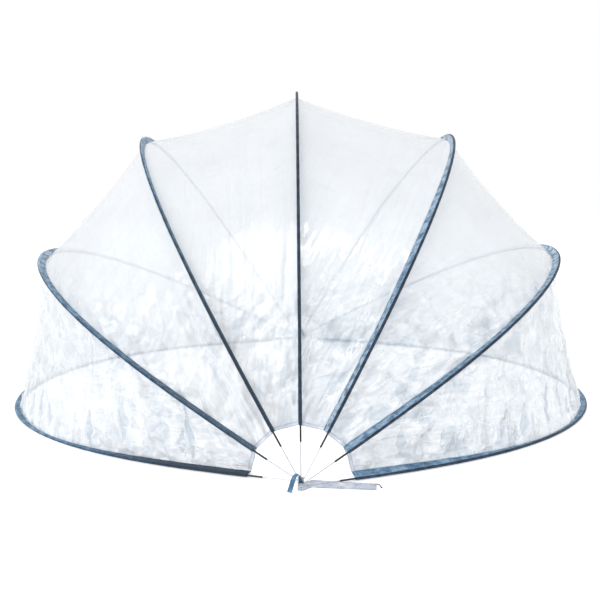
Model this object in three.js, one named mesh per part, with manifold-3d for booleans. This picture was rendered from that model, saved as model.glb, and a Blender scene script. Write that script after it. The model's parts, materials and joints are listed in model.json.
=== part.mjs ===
// Fold-away clear clamshell dome: seven bent rods in fabric sleeves fan out from two ground pivots, with
// six panels of clear film between them. Millimetres, +Z up, floor at z = 0. The pivot axis runs along Y,
// the near hub is at -Y and the far hub at +Y. Hoop angles count from +X up over the top to -X.
import * as THREE from 'three';
import { mergeVertices } from 'three/addons/utils/BufferGeometryUtils.js';
import Module from 'manifold-3d';

const wasm = await Module();
wasm.setup();

// Driving dimensions
const HALF_SPAN = 1830;                            // pivot axis centre to each hub, for a 3.66 m round pool
const END_SLOPE = THREE.MathUtils.degToRad(72.5);  // how steeply a bent rod leaves the pivot axis
const GAPS = 6;                                    // film panels
const HOOPS = GAPS + 1;

const PIVOT_HEIGHT = 12.5;
const STACK_PITCH = 9;          // hoops sit side by side along the pivot bolts
const GAP = 0.4;                // left between pieces that touch

const ROD_RADIUS = 4.75;
const PIN_RADIUS = 2.5;
const PIN_LENGTH = 195;         // pivot to where the pin enters the rod
const SLEEVE_START = 275;       // pivot to the sleeve and the film, along the rod
const FERRULE_HALF = 60;
const FERRULE_INNER = 5.2;
const FERRULE_OUTER = 5.9;

const SLEEVE_RADIUS = 9;
const SLEEVE_TUNNEL = 7;
const FIN_WIDTH = 62;           // rod centre to the seam that joins the film
const FIN_HALF_THICKNESS = 2;

const FILM_THICKNESS = 2;
const FILM_SAG = 0.025;         // of the chord between two hoops
const FILM_BANDS = 3;

const EYE_OUTER = 8.5;
const EYE_INNER = 4;
const EYE_THICKNESS = 5.5;
const BOLT_RADIUS = 3;
const NUT_CORNER_RADIUS = 5.8;
const NUT_HEIGHT = 5;

const BRACKET_WIDTH = 30;
const BRACKET_PLATE = 2.5;
const BRACKET_INSIDE = 36;      // hub centre to the inner face of each ear
const BRACKET_HEIGHT = 30;
const SLOT_WIDTH = 24;
const SLOT_LOW = 22;
const SLOT_HIGH = 26;

const TIE_WIDTH = 22;
const TIE_THICKNESS = 1.8;
const TIE_HEADING = THREE.MathUtils.degToRad(-150);
const STRAP_LENGTH = 332;
const STRAP_WIDTH = 70;
const STRAP_THICKNESS = 1.6;
const STRAP_TURN = THREE.MathUtils.degToRad(7);

const finish = (color, roughness, metalness, opacity = 1) =>
  new THREE.MeshStandardMaterial({ color, roughness, metalness, opacity, transparent: opacity < 1 });
const fibreglass = finish(0x17191c, 0.35, 0);
const steel = finish(0xb9bec4, 0.3, 1);
const zinc = finish(0xa8adb3, 0.4, 1);
const blueFabric = finish(0x3d6a94, 0.8, 0);
const clearFilm = finish(0xeef5fa, 0.1, 0, 0.35);
const blackPlastic = finish(0x22262b, 0.5, 0);

// A rod pinned at both ends bends into an elastica. With phi from -90 to 90 degrees and
// m = sin^2(slope/2), its distance from the pivot axis goes as cos(phi), and its place along the axis
// and its arc length come from the two elliptic integrals, summed here by Simpson's rule.
const modulus = Math.sin(END_SLOPE / 2);
const bend = (phi) => Math.sqrt(1 - (modulus * Math.sin(phi)) ** 2);

function ellipticTable(steps) {
  const width = Math.PI / 2 / steps;
  const rows = [{ phi: 0, first: 0, second: 0 }];
  for (let i = 0; i < steps; i++) {
    const phi = i * width;
    const [a, b, c] = [bend(phi), bend(phi + width / 2), bend(phi + width)];
    const last = rows[i];
    rows.push({
      phi: phi + width,
      first: last.first + (width / 6) * (1 / a + 4 / b + 1 / c),
      second: last.second + (width / 6) * (a + 4 * b + c),
    });
  }
  return rows;
}

const table = ellipticTable(360);
const quarter = table[table.length - 1];
const rodScale = HALF_SPAN / (2 * quarter.second - quarter.first);
const HALF_LENGTH = rodScale * quarter.first;
const CROWN_RADIUS = 2 * modulus * rodScale;

// The point at arc length s from the near hub, in the hoop's own plane: x away from the axis, y along it.
function hoopPoint(s) {
  const fromCrown = s - HALF_LENGTH;
  const first = Math.min(Math.abs(fromCrown) / rodScale, quarter.first);
  const next = Math.max(1, table.findIndex((row) => row.first >= first));
  const [low, high] = [table[next - 1], table[next]];
  const share = (first - low.first) / (high.first - low.first);
  const phi = THREE.MathUtils.lerp(low.phi, high.phi, share);
  const second = THREE.MathUtils.lerp(low.second, high.second, share);
  const along = Math.sign(fromCrown) * rodScale * (2 * second - first);
  return new THREE.Vector3(CROWN_RADIUS * Math.cos(phi), along, 0);
}

function hoopTangent(s) {
  return hoopPoint(Math.min(s + 1, 2 * HALF_LENGTH)).sub(hoopPoint(Math.max(s - 1, 0))).normalize();
}

// A stretch of the hoop through fixed stations, so that every piece on a hoop bends at the same places.
class HoopStretch extends THREE.Curve {
  constructor(stations) {
    super();
    this.stations = stations;
  }
  station(u) {
    return this.stations[Math.round(u * (this.stations.length - 1))];
  }
  getPoint(u) {
    return hoopPoint(this.station(u));
  }
  getPointAt(u) {
    return this.getPoint(u);
  }
  getTangentAt(u) {
    return hoopTangent(this.station(u));
  }
}

const SLEEVE_STEPS = 12;
const halfStations = Array.from({ length: SLEEVE_STEPS + 1 }, (_, i) =>
  THREE.MathUtils.lerp(SLEEVE_START, HALF_LENGTH - FERRULE_HALF, i / SLEEVE_STEPS));
const mirrored = (stations) => stations.map((s) => 2 * HALF_LENGTH - s).reverse();
const sleeveStations = [...halfStations, HALF_LENGTH, ...mirrored(halfStations)];
const nearRodStations = [PIN_LENGTH + GAP, ...halfStations, HALF_LENGTH - GAP / 2];

function sweep(section, stations, curveSegments = 3) {
  const extrudePath = new HoopStretch(stations);
  return new THREE.ExtrudeGeometry(section, { steps: stations.length - 1, extrudePath, curveSegments });
}

function disc(radius, hole = 0) {
  const shape = new THREE.Shape().absarc(0, 0, radius, 0, 2 * Math.PI);
  if (hole > 0) shape.holes.push(new THREE.Path().absarc(0, 0, hole, 0, 2 * Math.PI, true));
  return shape;
}

// The section's +Y points from the rod in towards the film, in the hoop's plane.
function sleeveSection() {
  const shoulder = Math.acos(FIN_HALF_THICKNESS / SLEEVE_RADIUS);
  const shape = new THREE.Shape();
  shape.moveTo(FIN_HALF_THICKNESS, FIN_WIDTH);
  shape.lineTo(-FIN_HALF_THICKNESS, FIN_WIDTH);
  shape.absarc(0, 0, SLEEVE_RADIUS, Math.PI - shoulder, shoulder);
  shape.holes.push(new THREE.Path().absarc(0, 0, SLEEVE_TUNNEL, 0, 2 * Math.PI, true));
  return shape;
}
const SLEEVE_DROP = Math.max(...sleeveSection().getPoints(3).map((point) => point.x));

// The end hoops dip just enough for their sleeves to touch the floor at the crown.
const DIP = Math.asin((PIVOT_HEIGHT - SLEEVE_DROP - 0.1) / CROWN_RADIUS);
const hoopAngle = (k) => THREE.MathUtils.lerp(-DIP, Math.PI + DIP, k / GAPS);
const hoopShift = (k) => (k - GAPS / 2) * STACK_PITCH;
const hoopName = (k) => String((k * 180) / GAPS);

function solid(geometry) {
  const bare = geometry.clone();
  bare.deleteAttribute('normal');
  bare.deleteAttribute('uv');
  const closed = mergeVertices(bare, 1e-4);
  return new wasm.Manifold(new wasm.Mesh({
    numProp: 3,
    vertProperties: new Float32Array(closed.attributes.position.array),
    triVerts: new Uint32Array(closed.index.array),
  }));
}

function geometryOf(manifold) {
  const mesh = manifold.getMesh();
  const geometry = new THREE.BufferGeometry();
  geometry.setAttribute('position', new THREE.BufferAttribute(mesh.vertProperties, 3));
  geometry.setIndex(new THREE.BufferAttribute(mesh.triVerts, 1));
  geometry.computeVertexNormals();
  return geometry;
}

// Extruded along Y and centred on it.
function plug(shape, thickness, curveSegments = 3) {
  const geometry = new THREE.ExtrudeGeometry(shape, { depth: thickness, bevelEnabled: false, curveSegments });
  return geometry.translate(0, 0, -thickness / 2).rotateX(-Math.PI / 2);
}

// A straight steel wire from the pivot to the rod, with its end looped into an eye round the bolt.
function pinGeometry() {
  const end = hoopPoint(PIN_LENGTH);
  const direction = end.clone().sub(hoopPoint(0)).normalize();
  const start = (EYE_INNER + EYE_OUTER) / 2;
  const wire = new THREE.CylinderGeometry(PIN_RADIUS, PIN_RADIUS, PIN_LENGTH - start, 8);
  wire.translate(0, (PIN_LENGTH + start) / 2, 0);
  wire.applyQuaternion(new THREE.Quaternion().setFromUnitVectors(new THREE.Vector3(0, 1, 0), direction));
  const eye = plug(disc(EYE_OUTER, EYE_INNER), EYE_THICKNESS, 6);
  return geometryOf(solid(wire).add(solid(eye))).translate(0, -HALF_SPAN, 0);
}

function named(name, geometry, material) {
  const mesh = new THREE.Mesh(geometry, material);
  mesh.name = name;
  return mesh;
}

// One hoop, flat in the XY plane before its group turns it up to its angle.
const turned = (geometry) => geometry.clone().rotateX(Math.PI);
const nearRod = sweep(disc(ROD_RADIUS), nearRodStations);
const nearPin = pinGeometry();
const ferrule = sweep(disc(FERRULE_OUTER, FERRULE_INNER),
  [HALF_LENGTH - FERRULE_HALF, HALF_LENGTH, HALF_LENGTH + FERRULE_HALF], 4);
const sleeve = sweep(sleeveSection(), sleeveStations);

function hoop(k) {
  const name = hoopName(k);
  const group = new THREE.Group();
  group.position.set(0, hoopShift(k), PIVOT_HEIGHT);
  group.rotation.y = -hoopAngle(k);
  group.add(
    named('rod_near_' + name, nearRod, fibreglass),
    named('rod_far_' + name, turned(nearRod), fibreglass),
    named('crown_ferrule_' + name, ferrule, steel),
    named('pin_near_' + name, nearPin, steel),
    named('pin_far_' + name, turned(nearPin), steel),
    named('sleeve_' + name, sleeve, blueFabric),
  );
  return group;
}

// A film panel between hoops k and k + 1: a thin closed sheet from fin edge to fin edge, sagging inward.
function seamPoint(k, s, side) {
  const tangent = hoopTangent(s);
  const inward = new THREE.Vector3(-tangent.y, tangent.x, 0);
  const point = hoopPoint(s).addScaledVector(inward, FIN_WIDTH + FILM_THICKNESS / 2 + GAP);
  point.z = side * (FIN_HALF_THICKNESS - GAP);
  point.applyAxisAngle(new THREE.Vector3(0, 1, 0), -hoopAngle(k));
  return point.add(new THREE.Vector3(0, hoopShift(k), PIVOT_HEIGHT));
}

function outwardAt(k, s) {
  const tangent = hoopTangent(s);
  const outward = new THREE.Vector3(tangent.y, -tangent.x, 0);
  return outward.applyAxisAngle(new THREE.Vector3(0, 1, 0), -(hoopAngle(k) + hoopAngle(k + 1)) / 2);
}

function filmGeometry(k) {
  const rows = sleeveStations.length;
  const columns = FILM_BANDS + 1;
  const positions = [];
  for (const face of [1, -1]) {
    for (const s of sleeveStations) {
      const [from, to] = [seamPoint(k, s, 1), seamPoint(k + 1, s, -1)];
      const outward = outwardAt(k, s);
      const sag = FILM_SAG * from.distanceTo(to);
      for (let j = 0; j < columns; j++) {
        const u = j / FILM_BANDS;
        const point = from.clone().lerp(to, u);
        point.addScaledVector(outward, (face * FILM_THICKNESS) / 2 - sag * 4 * u * (1 - u));
        positions.push(...point.toArray());
      }
    }
  }
  const at = (face, row, column) => face * rows * columns + row * columns + column;
  const faces = [];
  const quad = (a, b, c, d) => faces.push(a, b, c, a, c, d);
  for (let i = 0; i + 1 < rows; i++) {
    for (let j = 0; j < FILM_BANDS; j++) {
      quad(at(0, i, j), at(0, i + 1, j), at(0, i + 1, j + 1), at(0, i, j + 1));
      quad(at(1, i, j + 1), at(1, i + 1, j + 1), at(1, i + 1, j), at(1, i, j));
    }
    quad(at(1, i, 0), at(1, i + 1, 0), at(0, i + 1, 0), at(0, i, 0));
    quad(at(0, i, FILM_BANDS), at(0, i + 1, FILM_BANDS), at(1, i + 1, FILM_BANDS), at(1, i, FILM_BANDS));
  }
  for (let j = 0; j < FILM_BANDS; j++) {
    quad(at(1, 0, j), at(0, 0, j), at(0, 0, j + 1), at(1, 0, j + 1));
    const end = rows - 1;
    quad(at(0, end, j), at(1, end, j), at(1, end, j + 1), at(0, end, j + 1));
  }
  const geometry = new THREE.BufferGeometry();
  geometry.setAttribute('position', new THREE.Float32BufferAttribute(positions, 3));
  geometry.setIndex(faces);
  geometry.computeVertexNormals();
  return geometry;
}

// The hub hardware, in a group whose origin is the hub's centre on the floor and whose -Y points outward.
function bracketGeometry() {
  const outside = BRACKET_INSIDE + BRACKET_PLATE;
  const side = new THREE.Shape([
    [-outside, 0], [outside, 0], [outside, BRACKET_HEIGHT], [BRACKET_INSIDE, BRACKET_HEIGHT],
    [BRACKET_INSIDE, BRACKET_PLATE], [-BRACKET_INSIDE, BRACKET_PLATE],
    [-BRACKET_INSIDE, BRACKET_HEIGHT], [-outside, BRACKET_HEIGHT],
  ].map(([y, z]) => new THREE.Vector2(y, z)));
  const folded = new THREE.ExtrudeGeometry(side, { depth: BRACKET_WIDTH, bevelEnabled: false });
  folded.translate(0, 0, -BRACKET_WIDTH / 2).rotateY(Math.PI / 2).rotateX(Math.PI / 2);
  const bore = plug(disc(BOLT_RADIUS + 2 * GAP), 3 * outside, 6).translate(0, 0, PIVOT_HEIGHT);
  const slotHeight = SLOT_HIGH - SLOT_LOW;
  const slot = new THREE.BoxGeometry(SLOT_WIDTH, 6 * BRACKET_PLATE, slotHeight);
  slot.translate(0, -BRACKET_INSIDE, (SLOT_LOW + SLOT_HIGH) / 2);
  return geometryOf(solid(folded).subtract(solid(bore)).subtract(solid(slot)));
}

// A round-headed bolt turned about Y, its head outside the outer ear.
function boltGeometry() {
  const ear = BRACKET_INSIDE + BRACKET_PLATE + GAP;
  const shankEnd = ear + NUT_HEIGHT + 4;
  const profile = [
    [0, -ear - 4], [3.5, -ear - 3.6], [5.5, -ear - 1.5], [5.5, -ear], [BOLT_RADIUS, -ear],
    [BOLT_RADIUS, shankEnd], [0, shankEnd],
  ].map(([radius, y]) => new THREE.Vector2(radius, y));
  return new THREE.LatheGeometry(profile, 12).translate(0, 0, PIVOT_HEIGHT);
}

function nutGeometry() {
  const corners = Array.from({ length: 6 }, (_, i) =>
    new THREE.Vector2(Math.cos((i * Math.PI) / 3), Math.sin((i * Math.PI) / 3)).multiplyScalar(NUT_CORNER_RADIUS));
  const hexagon = new THREE.Shape(corners);
  hexagon.holes.push(new THREE.Path().absarc(0, 0, BOLT_RADIUS + GAP, 0, 2 * Math.PI, true));
  const place = BRACKET_INSIDE + BRACKET_PLATE + GAP + NUT_HEIGHT / 2;
  return plug(hexagon, NUT_HEIGHT, 6).translate(0, place, PIVOT_HEIGHT);
}

// A flat band of one thickness, following a line of points in a vertical plane.
function bandShape(points, thickness) {
  const offset = (side) => points.map((point, i) => {
    const [before, after] = [points[Math.max(i - 1, 0)], points[Math.min(i + 1, points.length - 1)]];
    const along = after.clone().sub(before).normalize();
    return new THREE.Vector2(-along.y, along.x).multiplyScalar((side * thickness) / 2).add(point);
  });
  return new THREE.Shape([...offset(-1), ...offset(1).reverse()]);
}

// The webbing tie arches out of the bracket's slot and down to stand on the floor.
function tieGeometry() {
  const line = new THREE.CatmullRomCurve3([
    [0, 24], [2, 46], [7, 70], [17, 84], [31, 80], [42, 60], [52, 34], [60, 12], [64, 2.4],
  ].map(([out, up]) => new THREE.Vector3(out, up, 0)));
  const points = line.getPoints(20).map((point) => new THREE.Vector2(point.x, point.y));
  const band = new THREE.ExtrudeGeometry(bandShape(points, TIE_THICKNESS), {
    depth: TIE_WIDTH, bevelEnabled: false,
  });
  const place = BRACKET_INSIDE + BRACKET_PLATE + TIE_WIDTH / 2;
  return band.translate(0, 0, -TIE_WIDTH / 2).rotateX(Math.PI / 2).rotateZ(TIE_HEADING).translate(0, -place, 0);
}

// The strap lies beside the bracket's foot, its middle just inside the bolt's middle.
const strapPlace = { x: 23, y: 18 };

function strapGeometry() {
  const strap = new THREE.BoxGeometry(STRAP_LENGTH, STRAP_WIDTH, STRAP_THICKNESS);
  strap.translate(STRAP_LENGTH / 2, 0, STRAP_THICKNESS / 2 + GAP);
  return strap.rotateZ(-STRAP_TURN).translate(strapPlace.x, strapPlace.y, 0);
}

// A small bent-wire hook at the strap's outer end.
function hookGeometry() {
  const line = new THREE.CatmullRomCurve3([
    [0.8, 33], [8, 31], [14, 21], [19, 6], [25, -5], [18, -9],
  ].map(([out, across]) => new THREE.Vector3(out, across, 0)));
  const wire = new THREE.ExtrudeGeometry(disc(2), { steps: 12, extrudePath: line, curveSegments: 3 });
  return wire.translate(STRAP_LENGTH + GAP, 0, 2.4).rotateZ(-STRAP_TURN).translate(strapPlace.x, strapPlace.y, 0);
}

function hub(side) {
  const group = new THREE.Group();
  const far = side === 'far';
  group.position.y = far ? HALF_SPAN : -HALF_SPAN;
  group.rotation.z = far ? Math.PI : 0;
  group.add(
    named('hub_bracket_' + side, bracketGeometry(), zinc),
    named('pivot_bolt_' + side, boltGeometry(), steel),
    named('lock_nut_' + side, nutGeometry(), steel),
    named('webbing_tie_' + side, tieGeometry(), blueFabric),
    named('film_strap_' + side, strapGeometry(), clearFilm),
    named('strap_hook_' + side, hookGeometry(), blackPlastic),
  );
  return group;
}

const dome = new THREE.Group();
for (let k = 0; k < HOOPS; k++) dome.add(hoop(k));
for (let k = 0; k < GAPS; k++) {
  dome.add(named(`film_${hoopName(k)}_${hoopName(k + 1)}`, filmGeometry(k), clearFilm));
}
dome.add(hub('near'), hub('far'));

export default dome;
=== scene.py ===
import json
import math

import bpy
import numpy as np
from mathutils import Euler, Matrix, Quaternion, Vector


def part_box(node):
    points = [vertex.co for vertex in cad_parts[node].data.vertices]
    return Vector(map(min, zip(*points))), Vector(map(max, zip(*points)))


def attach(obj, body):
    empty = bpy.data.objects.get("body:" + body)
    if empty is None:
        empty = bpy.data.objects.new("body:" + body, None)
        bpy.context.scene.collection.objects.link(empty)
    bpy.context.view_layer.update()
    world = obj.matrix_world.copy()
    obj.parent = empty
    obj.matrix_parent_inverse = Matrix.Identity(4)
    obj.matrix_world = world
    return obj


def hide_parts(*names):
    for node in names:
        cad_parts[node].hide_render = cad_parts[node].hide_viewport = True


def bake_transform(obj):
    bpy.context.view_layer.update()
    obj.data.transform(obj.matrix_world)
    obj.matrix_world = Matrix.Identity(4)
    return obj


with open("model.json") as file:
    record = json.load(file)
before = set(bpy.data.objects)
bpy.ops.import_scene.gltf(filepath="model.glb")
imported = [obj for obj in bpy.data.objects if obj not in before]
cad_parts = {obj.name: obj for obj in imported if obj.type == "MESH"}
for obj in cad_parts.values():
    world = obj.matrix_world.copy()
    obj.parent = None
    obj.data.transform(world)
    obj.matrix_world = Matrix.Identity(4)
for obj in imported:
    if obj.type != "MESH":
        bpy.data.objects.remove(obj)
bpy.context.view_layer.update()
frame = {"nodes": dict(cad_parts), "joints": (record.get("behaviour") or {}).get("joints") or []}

# -------------------------------- driving dimensions, in metres
END_SLOPE = math.radians(72.5)      # how steeply a bent rod leaves the pivot axis
HOOP_NAMES = ["0", "30", "60", "90", "120", "150", "180"]
BODIES = ["base_right", "hoop_30", "hoop_60", "hoop_90", "hoop_120", "hoop_150", "base_left"]
STACK_PITCH = 0.009                 # hoops sit side by side along the pivot bolts
FLOOR_GAP = 0.0002                  # under the end hoops' sleeves
ROD_RADIUS = 0.00475
PIN_RADIUS = 0.0025
PIN_LENGTH = 0.195
EYE_RADIUS = 0.00585                # centre of the pin's wire as it loops round the bolt
SLEEVE_START = 0.275                # arc length from each hub to where the sleeve and the film begin
TUNNEL_RADIUS = 0.0083
FIN_WIDTH = 0.062
CROWN_FIN_WIDTH = 0.044
STEEP_CROWN_FIN_WIDTH = 0.035       # on the three hoops that stand steepest
BASE_FIN_PINCH = 0.034              # how much of the end hoops' fins is rolled in half way up
FILM_SAG = 0.025                    # of the chord between two hoops
SEAM_TUCK = 0.006                   # how far the film's edge is tucked between the fin's two layers

pivot = Vector(frame["joints"][0]["pos_m"])
hub_low, hub_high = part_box("hub_bracket_far")
HALF_SPAN = (hub_low.y + hub_high.y) / 2


# -------------------------------- the hoops' line
# A straight rod bent between two hubs takes the curve called an elastica, found here by elliptic integrals.
modulus = math.sin(END_SLOPE / 2)
phi_grid = np.linspace(0, math.pi / 2, 4001)
stretch = np.sqrt(1 - (modulus * np.sin(phi_grid)) ** 2)


def running_sum(values):
    step = phi_grid[1] - phi_grid[0]
    return np.concatenate([[0], np.cumsum((values[1:] + values[:-1]) / 2) * step])


first_kind = running_sum(1 / stretch)
second_kind = running_sum(stretch)
rod_scale = HALF_SPAN / (2 * second_kind[-1] - first_kind[-1])
HALF_LENGTH = rod_scale * first_kind[-1]
CROWN_RADIUS = 2 * modulus * rod_scale


def hoop_line(s):
    """Distance from the pivot axis and place along it, at arc lengths s from the near hub."""
    from_crown = np.asarray(s, float) - HALF_LENGTH
    phi = np.interp(np.abs(from_crown) / rod_scale, first_kind, phi_grid)
    first = np.interp(phi, phi_grid, first_kind)
    second = np.interp(phi, phi_grid, second_kind)
    return CROWN_RADIUS * np.cos(phi), np.sign(from_crown) * rod_scale * (2 * second - first)


def hoop_tangent(s):
    low, high = hoop_line(np.asarray(s) - 1e-3), hoop_line(np.asarray(s) + 1e-3)
    along = np.stack([high[0] - low[0], high[1] - low[1]])
    return along / np.linalg.norm(along, axis=0)


SLEEVE_FINISH = 2 * HALF_LENGTH - SLEEVE_START
SLEEVE_LENGTH = SLEEVE_FINISH - SLEEVE_START


def near_end(s):
    """Arc length to the nearer of the film's two ends."""
    return np.minimum(s, 2 * HALF_LENGTH - s) - SLEEVE_START


# The end hoops dip from the pivots down to the floor.
DIP = math.asin((pivot.z - TUNNEL_RADIUS - FLOOR_GAP) / CROWN_RADIUS)


def hoop_angle(k):
    return -DIP + (math.pi + 2 * DIP) * k / 6


def placed(k, r, y, out=0.0):
    """Points of hoop k in the row frame: r from the axis, y along it, out of its plane."""
    c, s = math.cos(hoop_angle(k)), math.sin(hoop_angle(k))
    r, y, out = np.broadcast_arrays(*(np.asarray(value, float) for value in (r, y, out)))
    return np.stack([pivot.x + r * c - out * s, y + (k - 3) * STACK_PITCH, pivot.z + r * s + out * c], -1)


# -------------------------------- mesh helpers
def new_object(name, data):
    made = bpy.data.objects.new(name, data)
    bpy.context.scene.collection.objects.link(made)
    return made


def mesh_object(name, points, faces, material, smooth=True):
    mesh = bpy.data.meshes.new(name)
    mesh.from_pydata([tuple(p) for p in np.asarray(points, float)], [], [tuple(f) for f in faces])
    mesh.materials.append(material)
    if smooth:
        mesh.shade_smooth()
    mesh.update()
    return new_object(name, mesh)


def grid_faces(rows, columns, closed=False):
    wrap = columns if closed else columns - 1
    return [
        (i * columns + j, i * columns + (j + 1) % columns,
         (i + 1) * columns + (j + 1) % columns, (i + 1) * columns + j)
        for i in range(rows - 1) for j in range(wrap)
    ]


def tube(name, rings, material, capped=True):
    """A closed tube through rings, an array of rows of points."""
    rows, columns = rings.shape[:2]
    faces = [tuple(reversed(f)) for f in grid_faces(rows, columns, closed=True)]
    if capped:
        faces.append(tuple(range(columns)))
        faces.append(tuple(reversed(range((rows - 1) * columns, rows * columns))))
    return mesh_object(name, rings.reshape(-1, 3), faces, material)


def lay_flat(piece, name, coordinates):
    """A map of where each point lies on the flat cloth, in metres along and across."""
    mesh = piece.data
    corners = np.empty(len(mesh.loops), np.int32)
    mesh.loops.foreach_get("vertex_index", corners)
    flat = np.asarray(coordinates, np.float32).reshape(-1, 2)[corners]
    mesh.uv_layers.new(name=name).data.foreach_set("uv", flat.ravel())


def pairs(first, second):
    return np.stack(np.broadcast_arrays(first, second), -1)


def note(piece, name, values):
    """One number for each point of the mesh, for its material to read."""
    attribute = piece.data.attributes.new(name, "FLOAT", "POINT")
    attribute.data.foreach_set("value", np.asarray(values, np.float32).ravel())


def two_materials(piece, second, chosen):
    """The faces whose corners pass the test get the second material."""
    piece.data.materials.append(second)
    for polygon in piece.data.polygons:
        if chosen(polygon.vertices):
            polygon.material_index = 1


def unit(vectors):
    return vectors / np.linalg.norm(vectors, axis=-1, keepdims=True)


def run_along(line):
    """Distance from the line's start, at each of its points."""
    return np.concatenate([[0], np.cumsum(np.linalg.norm(np.diff(line, axis=0), axis=1))])


def round_tube(name, line, radii, sides, material):
    """A round tube along a line of points, with frames carried along without twist."""
    line = np.asarray(line, float)
    tangents = unit(np.gradient(line, axis=0))
    across = np.cross(tangents[0], [0.3, 0.5, 0.8])
    rings = []
    turns = np.linspace(0, 2 * math.pi, sides, endpoint=False)
    for point, tangent, radius in zip(line, tangents, np.broadcast_to(radii, len(line))):
        across = unit(across - tangent * (across @ tangent))
        other = np.cross(tangent, across)
        rings.append(point + radius * (np.outer(np.cos(turns), across) + np.outer(np.sin(turns), other)))
    return tube(name, np.array(rings)[:, ::-1], material)


def smooth_line(knots, count):
    """A Catmull-Rom curve through the knots, at evenly spread places."""
    knots = np.asarray(knots, float)
    ends = np.vstack([2 * knots[0] - knots[1], knots, 2 * knots[-1] - knots[-2]])
    places = np.linspace(0, len(knots) - 1 - 1e-9, count)
    i = places.astype(int)
    f = (places - i)[:, None]
    a, b, c, d = (ends[i + step] for step in range(4))
    square, cube = 2 * a - 5 * b + 4 * c - d, 3 * b - a - 3 * c + d
    return 0.5 * (2 * b + (c - a) * f + square * f ** 2 + cube * f ** 3)


def ribbon(name, line, sideways, width, thickness, material, ribs):
    """A woven band of one width and thickness along a line, with round edges and raised ribs."""
    sideways = unit(sideways)
    normals = np.cross(unit(np.gradient(line, axis=0)), sideways)
    run = run_along(line)
    top = np.linspace(-1, 1, 17)
    ridges = 1 + 0.25 * np.cos(top * math.pi * ribs)
    rise = np.sqrt(np.clip(1 - np.abs(top) ** 8, 0, 1)) * ridges
    across = np.concatenate([top, top[::-1]]) * width / 2
    height = np.concatenate([rise, -rise[::-1]]) * thickness / 2
    rings = line[:, None] + sideways[:, None] * across[:, None] + normals[:, None] * height[:, None]
    piece = tube(name, rings, material)
    lay_flat(piece, "cloth", pairs(run[:, None], across))
    lay_flat(piece, "seams", pairs(run[:, None], np.full_like(across, -1.0)))
    return piece, float(run[-1])


# -------------------------------- repeatable noise
def lattice_value(cells, seed):
    x, y, z = (cells[..., i].astype(np.int64) for i in range(3))
    mixed = (x * 73856093) ^ (y * 19349663) ^ (z * 83492791) ^ (seed * 2654435761)
    mixed = (mixed ^ (mixed >> 13)) * 1274126177
    mixed = mixed ^ (mixed >> 16)
    return (mixed & 0xFFFF) / 32767.5 - 1


def spot(x, y, z):
    """Points for noise() from three coordinates, any of which may be one number."""
    return np.stack(np.broadcast_arrays(np.asarray(x, float), y, z), -1)


def noise(points, seed):
    """Smooth noise from -1 to 1, one value for each point of three numbers."""
    base = np.floor(points)
    part = points - base
    part = part * part * part * (part * (part * 6 - 15) + 10)
    total = 0.0
    for corner in np.ndindex(2, 2, 2):
        share = np.prod(np.where(corner, part, 1 - part), axis=-1)
        total = total + share * lattice_value(base + corner, seed)
    return total


def smoothstep(low, high, value):
    t = np.clip((value - low) / (high - low), 0, 1)
    return t * t * (3 - 2 * t)


# -------------------------------- materials
def new_material(name):
    material = bpy.data.materials.new(name)
    material.use_nodes = True
    tree = material.node_tree
    return material, tree, tree.nodes["Principled BSDF"]


def node(tree, kind, **settings):
    made = tree.nodes.new(kind)
    for key, value in settings.items():
        if key in made.inputs:
            made.inputs[key].default_value = value
        else:
            setattr(made, key, value)
    return made


def feed(tree, sockets, values):
    """Each value goes to its socket: a link from another socket, or a number or tuple to hold."""
    for socket, value in zip(sockets, values):
        if isinstance(value, bpy.types.NodeSocket):
            tree.links.new(value, socket)
        else:
            socket.default_value = value


def math_node(tree, operation, *values):
    made = node(tree, "ShaderNodeMath", operation=operation)
    feed(tree, made.inputs, values)
    return made.outputs["Value"]


def times(tree, first, second):
    return math_node(tree, "MULTIPLY", first, second)


def plus(tree, first, second):
    return math_node(tree, "ADD", first, second)


def apart(tree, first, second):
    return math_node(tree, "ABSOLUTE", math_node(tree, "SUBTRACT", first, second))


def vector_node(tree, operation, *values):
    made = node(tree, "ShaderNodeVectorMath", operation=operation)
    feed(tree, made.inputs, values)
    return made.outputs["Value" if operation == "DOT_PRODUCT" else "Vector"]


def blend_colours(tree, factor, first, second):
    """Each colour is a socket or a tuple of three."""
    made = node(tree, "ShaderNodeMix", data_type="RGBA")
    colours = [(*colour, 1) if isinstance(colour, tuple) else colour for colour in (first, second)]
    feed(tree, (made.inputs["Factor"], made.inputs[6], made.inputs[7]), (factor, *colours))
    return made.outputs[2]


def set_sockets(shader, settings):
    for name, value in settings.items():
        shader.inputs[name].default_value = value


def noise_node(tree, scale, detail, roughness=0.55):
    """Noise through the piece's own space, from 0 to 1."""
    place = node(tree, "ShaderNodeTexCoord").outputs["Object"]
    pattern = node(tree, "ShaderNodeTexNoise", Scale=scale, Detail=detail, Roughness=roughness)
    tree.links.new(place, pattern.inputs["Vector"])
    return pattern.outputs["Fac"]


def flat_noise(tree, place, scale, detail, **settings):
    """Noise over a flat map, as a node."""
    made = node(tree, "ShaderNodeTexNoise", noise_dimensions="2D", Scale=scale, Detail=detail, **settings)
    tree.links.new(place, made.inputs["Vector"])
    return made


def marked(tree, name):
    """The number that note() left on the mesh under this name."""
    return node(tree, "ShaderNodeAttribute", attribute_name=name).outputs["Fac"]


def remap(tree, source, low, high, new_low=0.0, new_high=1.0, smooth=True):
    """Source from low to high, taken to new_low to new_high and held there beyond."""
    made = node(tree, "ShaderNodeMapRange", interpolation_type="SMOOTHSTEP" if smooth else "LINEAR")
    for label, value in (("From Min", low), ("From Max", high), ("To Min", new_low), ("To Max", new_high)):
        made.inputs[label].default_value = value
    tree.links.new(source, made.inputs["Value"])
    return made.outputs["Result"]


def flat_map(tree, name):
    """The flat coordinates that lay_flat() put on the mesh under this name."""
    return node(tree, "ShaderNodeUVMap", uv_map=name).outputs["UV"]


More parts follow.
